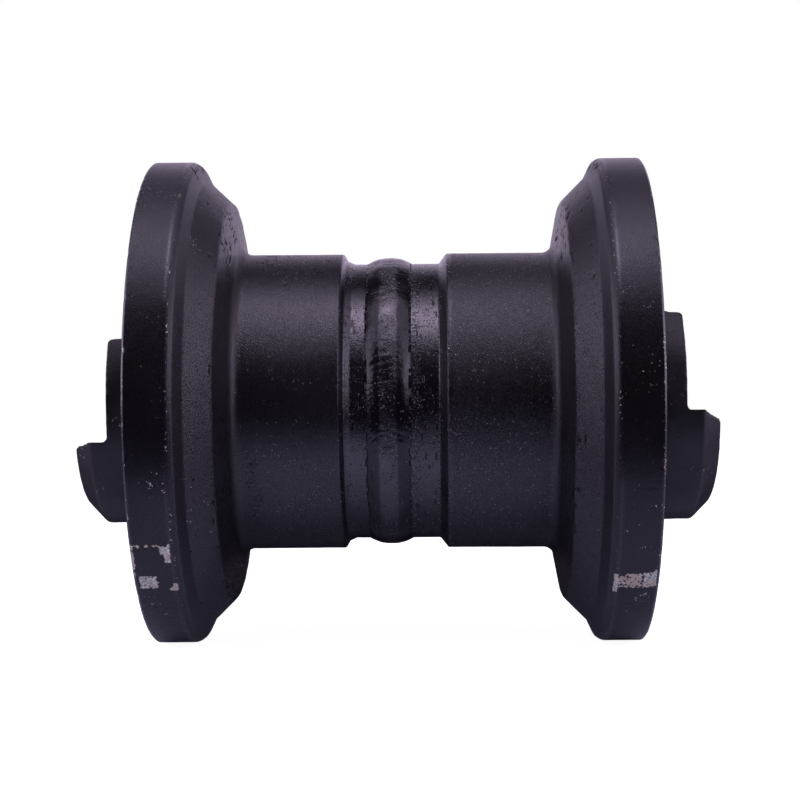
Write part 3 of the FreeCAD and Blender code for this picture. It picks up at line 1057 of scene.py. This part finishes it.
def body_colour(nodes, masks):
    """Paint, paler on the rims' tops, with shade painted into its pits and pale specks partly painted as
    glints, over metal that is dull, light or rusty.
    """
    worn = nodes.ramp(nodes.grain(0.7, detail=3.0), low=0.35, high=0.65)
    rusty = nodes.ramp(nodes.grain(5.0, detail=1.0), low=0.45, high=0.6)
    metal = nodes.blend(rusty, nodes.blend(worn, BARE_DULL, BARE_LIGHT), BARE_RUSTY)
    paint = paint_colour(nodes, nodes.grain(24.0, detail=3.0))
    # Paler colour on the rims' upward-facing side.
    paint = nodes.blend(nodes.kept("paler_on_top"), paint, TOP_PALE)
    # Painted shade in pits and along the weld's toes.
    paint = nodes.blend(masks["dark"], paint, PIT_SHADE_BLACK)
    # Pale specks, partly painted glints.
    paint = nodes.blend(nodes.times(masks["glinting_specks"], SPECK_AND_GLINT_COVER), paint, SPECK_AND_GLINT)
    return nodes.blend(masks["bare"], paint, metal)


def body_roughness(nodes, masks, sandy, streaks):
    """Rougher where the paint is matt, bare or in the painted shade of pits, and streaked where it was
    turned.
    """
    rough = nodes.ramp(nodes.kept("gloss"), low=0, high=1, start=0.50, end=0.13)
    rough = nodes.plus(rough, nodes.ramp(sandy, low=0.3, high=0.7, start=-0.03, end=0.05))
    rough = nodes.plus(rough, nodes.times(masks["bare"], BARE_ROUGHER))
    rough = nodes.plus(rough, nodes.times(masks["grime"], RECESS_ROUGHER))
    polish = nodes.ramp(streaks, low=0.35, high=0.65, start=-0.06, end=0.06)
    return nodes.plus(rough, nodes.times(polish, nodes.kept("turned")))


def body_shine(nodes, masks, fine):
    """The strength of the reflections: glints in thin paint, and little where shade is painted into pits.
    """
    glints = nodes.times(nodes.minus(fine, 0.5), nodes.times(nodes.kept("grain"), GLINTS))
    shine = nodes.plus(nodes.kept("thin"), glints)
    shine = nodes.ramp(shine, low=0, high=1, start=1.42, end=1.80)
    # Painted shade: reflections dimmed in pits.
    return nodes.minus(shine, nodes.times(masks["dark"], SHADE_DULLER))


def body_bumps(nodes, masks, fine, sandy, streaks):
    """Fine grain, pits and flecks, streaks and the lathe's spiral."""
    height = nodes.plus(nodes.times(fine, 1.4), sandy)
    normal = nodes.bumped(nodes.times(height, nodes.kept("grain")), depth=0.12)
    normal = nodes.bumped(nodes.minus(masks["glinting_specks"], masks["pits"]), 0.16, normal)
    turned = nodes.kept("turned")
    normal = nodes.bumped(nodes.times(streaks, turned), 0.014, normal)
    turns = nodes.times(nodes.kept("along"), 2 * math.pi / TURNING_PITCH)
    turns = nodes.plus(turns, nodes.times(nodes.grain(3.0, detail=1.0), TURNING_WANDER))
    return nodes.bumped(nodes.times(nodes.math("SINE", turns), turned), 0.006, normal)


def body_paint(name):
    """Black paint over a forging, which reads how worn, glossy and grainy each point is."""
    material, nodes = new_material(name)
    masks = body_masks(nodes)
    fine = nodes.grain(0.4)
    sandy = nodes.grain(0.8)
    streaks = nodes.grain(0.45, detail=3.0, place=nodes.wound(STREAKS_SQUEEZE))
    nodes.shade(
        Base_Color=body_colour(nodes, masks),
        Metallic=nodes.times(masks["bare"], BARE_METALLIC),
        Roughness=body_roughness(nodes, masks, sandy, streaks),
        IOR=body_shine(nodes, masks, fine),
        Normal=body_bumps(nodes, masks, fine, sandy, streaks),
    )
    return material


def cast_paint(name):
    """Dull black paint over a casting, with rubbed places."""
    material, nodes = new_material(name)
    cloudy = nodes.grain(15.0, detail=3.0)
    sandy = nodes.grain(0.9, detail=3.0)
    spots = nodes.ramp(nodes.grain(1.3, detail=4.0), low=0.61, high=0.69)
    rubbed = nodes.times(spots, nodes.ramp(nodes.kept("worn"), low=0.5, high=1.0))
    clouds = nodes.ramp(cloudy, low=0.3, high=0.7, start=0.42, end=0.52)
    sand = nodes.ramp(sandy, low=0.3, high=0.7, start=-0.04, end=0.04)
    nodes.shade(
        Base_Color=nodes.blend(rubbed, paint_colour(nodes, cloudy), BARE_DULL),
        Metallic=nodes.times(rubbed, RUBBED_METALLIC),
        Roughness=nodes.plus(clouds, sand),
        Normal=nodes.bumped(sandy, depth=0.03),
    )
    return material


def metal(name, light, dark, polish, scratch, turned=False):
    """A metal with cloudy colour, fine machining marks scratch deep, and uneven polish."""
    material, nodes = new_material(name)
    place = nodes.wound(LATHE_SQUEEZE) if turned else nodes.fixed()
    marks = nodes.grain(0.5, detail=4.0, place=place)
    stain = nodes.ramp(nodes.grain(3.0, detail=5.0), low=0.5, high=0.8)
    clouds = nodes.ramp(nodes.grain(9.0, detail=4.0), low=0.3, high=0.7)
    stained = tuple(STAIN_DARKER * part for part in dark)
    rough = nodes.ramp(marks, low=0.3, high=0.7, start=polish, end=polish + POLISH_SPREAD)
    nodes.shade(
        Base_Color=nodes.blend(nodes.times(stain, STAIN_COVER), nodes.blend(clouds, light, dark), stained),
        Metallic=1.0,
        Roughness=nodes.plus(rough, nodes.times(stain, STAIN_ROUGHER)),
        Normal=nodes.bumped(marks, scratch),
    )
    return material


def rubber(name):
    """Black nitrile with a faint bloom, mould grain and oil."""
    material, nodes = new_material(name)
    bloom = nodes.ramp(nodes.grain(5.0, detail=4.0), low=0.45, high=0.75)
    oily = nodes.grain(2.0, detail=3.0)
    nodes.shade(
        Base_Color=nodes.blend(bloom, NITRILE, NITRILE_BLOOM),
        Roughness=nodes.ramp(oily, low=0.3, high=0.7, start=0.35, end=0.65),
        Normal=nodes.bumped(nodes.grain(0.4), depth=0.02),
    )
    return material


def give(material, *objects):
    """Puts one material on objects."""
    for piece in objects:
        piece.data.materials.clear()
        piece.data.materials.append(material)


def dress_inner_parts():
    """Materials for the CAD nodes that stay as they are."""
    steel = metal("ground_steel", *STEEL, polish=0.15, scratch=0.004, turned=True)
    bronze = metal("bushing_bronze", *BRONZE, polish=0.24, scratch=0.006, turned=True)
    iron = metal("lapped_iron", *IRON, polish=0.16, scratch=0.006)
    spring = metal("blued_spring_steel", *BLUED, polish=0.28, scratch=0.006)
    zinc = metal("zinc_plate", *ZINC, polish=0.24, scratch=0.008)
    nitrile = rubber("nitrile_rubber")
    made_of = {
        "bushing": bronze,
        "snap_ring": spring,
        "oil_plug": zinc,
        "rotating_seal_ring": iron,
        "fixed_seal_ring": iron,
        "rotating_toric_ring": nitrile,
        "fixed_toric_ring": nitrile,
        "shaft_o_ring": nitrile,
    }
    give(steel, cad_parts["shaft"])
    for side in SIDES:
        for part, material in made_of.items():
            give(material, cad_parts[side + "_" + part])


# ---- studio

WHITE = (1, 1, 1)
STUDIO_TINT = (1.0, 0.83, 1.16)
CAMERA_AZIMUTH = 91.2
CAMERA_ELEVATION = 0.46
CAMERA_ROLL = -0.46
CAMERA_DISTANCE = 0.749
CAMERA_AIM = Vector((0.0, 0.7, 0.3)) * MM
LENS = 80.4
SENSOR = 36.0
NEAREST_SEEN = 0.05

# The backdrop that only reflections see: where each part starts and is full, and its brightness.
BACK_REACH = (-0.62, -0.98)
BACK_GLOW = 0.85
SIDES_REACH = (0.66, 0.95)
SIDES_GLOW = 1.85
ROOM_GLOW = 0.03

# The floor, and the lit strip on it that only reflections see.
FLOOR_HALF = 3.0
FLOOR_CLOUDS = 60.0
FLOOR_DARK = (0.82, 0.81, 0.82)
FLOOR_LIGHT = (0.86, 0.85, 0.86)
FLOOR_GLOW = 0.93
TABLE_FRONT = (0.185, 0.215)
TABLE_BACK = (-0.06, -0.02)
TABLE_LIT = (0.78, 0.86, 0.98)
TABLE_DARK = (0.03, 0.026, 0.034)


def facing_centre(thing, azimuth, elevation, distance):
    """Stands a light or camera round the object, facing its middle; azimuth 0 is at -Y and 90 at +X."""
    turn = math.radians(azimuth)
    climb = math.radians(elevation)
    across = math.cos(climb)
    place = Vector((across * math.sin(turn), -across * math.cos(turn), math.sin(climb))) * distance
    thing.location = place
    thing.rotation_euler = (-place).to_track_quat("-Z", "Y").to_euler()


def soft_light(name, azimuth, elevation, distance, width, height, radiance):
    """A softbox, as bright as radiance wherever it is seen reflected."""
    light = bpy.data.lights.new(name, "AREA")
    light.shape = "RECTANGLE"
    light.size = width
    light.size_y = height
    light.energy = radiance * math.pi * width * height
    light.color = STUDIO_TINT
    lamp = link(name, light)
    facing_centre(lamp, azimuth, elevation, distance)
    lamp.visible_camera = False


def studio_lights():
    """One large softbox high in front with a brighter core, and two slim ones at the sides."""
    soft_light("key_softbox", 90, 73, distance=1.05, width=1.8, height=0.86, radiance=1.0)
    soft_light("key_core", 90, 69, distance=1.03, width=0.36, height=0.34, radiance=3.8)
    soft_light("left_softbox", 35, 25, distance=1.0, width=0.34, height=0.7, radiance=1.6)
    soft_light("right_softbox", 145, 25, distance=1.0, width=0.34, height=0.7, radiance=1.6)


def studio_world():
    """White behind the object; for reflections, a lit backdrop at the back and dark at the front."""
    world = bpy.data.worlds.new("studio")
    bpy.context.scene.world = world
    world.use_nodes = True
    world.node_tree.nodes.clear()
    nodes = Nodes(world.node_tree)
    seen = nodes.add("Background", {"Color": WHITE, "Strength": 1.0}).outputs[0]
    parts = nodes.add("SeparateXYZ", {0: nodes.add("TexCoord").outputs["Generated"]}).outputs
    back = nodes.ramp(parts["X"], *BACK_REACH, end=BACK_GLOW)
    sides = nodes.ramp(nodes.math("ABSOLUTE", parts["Y"]), *SIDES_REACH, end=SIDES_GLOW)
    glow = nodes.plus(nodes.larger(back, sides), ROOM_GLOW)
    reflected = nodes.add("Background", {"Color": STUDIO_TINT, "Strength": glow}).outputs[0]
    nodes.add("OutputWorld", {"Surface": nodes.for_camera(seen, reflected)})


def floor_paint(name):
    """Pale and bright to the eye, dim in the paint's reflections."""
    material, nodes = new_material(name)
    nodes.tree.nodes.remove(nodes.tree.nodes["Principled BSDF"])
    grey = nodes.blend(nodes.grain(FLOOR_CLOUDS), FLOOR_DARK, FLOOR_LIGHT)
    pale = nodes.add("BsdfDiffuse", {"Color": grey}).outputs[0]
    glow = nodes.add("Emission", {"Color": WHITE, "Strength": FLOOR_GLOW}).outputs[0]
    seen = nodes.add("AddShader", {0: pale, 1: glow}).outputs[0]
    ahead = nodes.add("SeparateXYZ", {0: nodes.fixed()}).outputs["X"]
    strip = nodes.minus(nodes.ramp(ahead, *TABLE_BACK), nodes.ramp(ahead, *TABLE_FRONT))
    table = nodes.blend(strip, TABLE_DARK, TABLE_LIT)
    reflected = nodes.add("BsdfDiffuse", {"Color": table}).outputs[0]
    surface = nodes.tree.nodes["Material Output"].inputs["Surface"]
    nodes.feed(surface, nodes.for_camera(seen, reflected))
    return material


def studio_floor():
    """A pale floor under the object."""
    under = CAD_BOX[0][2]
    corners = [(-1, -1), (1, -1), (1, 1), (-1, 1)]
    mesh = bpy.data.meshes.new("floor")
    mesh.from_pydata([(x * FLOOR_HALF, y * FLOOR_HALF, under) for x, y in corners], [], [(0, 1, 2, 3)])
    floor = link("floor", mesh)
    give(floor_paint("floor_pale"), floor)


def studio_camera():
    """The camera, level with the axle and very slightly above it."""
    lens = bpy.data.cameras.new("camera")
    lens.lens = LENS
    lens.sensor_width = SENSOR
    lens.clip_start = NEAREST_SEEN
    camera = link("camera", lens)
    facing_centre(camera, CAMERA_AZIMUTH, CAMERA_ELEVATION, CAMERA_DISTANCE)
    camera.location += CAMERA_AIM
    roll = Matrix.Rotation(math.radians(CAMERA_ROLL), 3, "Z")
    camera.rotation_euler = (camera.rotation_euler.to_matrix() @ roll).to_euler()
    bpy.context.scene.camera = camera


# ---- the scene

give(body_paint("black_body_paint"), running_half("left"), running_half("right"), weld_piece())
give(cast_paint("black_cast_paint"), collar_piece("left"), collar_piece("right"))
dress_inner_parts()
studio_lights()
studio_world()
studio_floor()
studio_camera()
bpy.context.scene.view_settings.view_transform = "Standard"
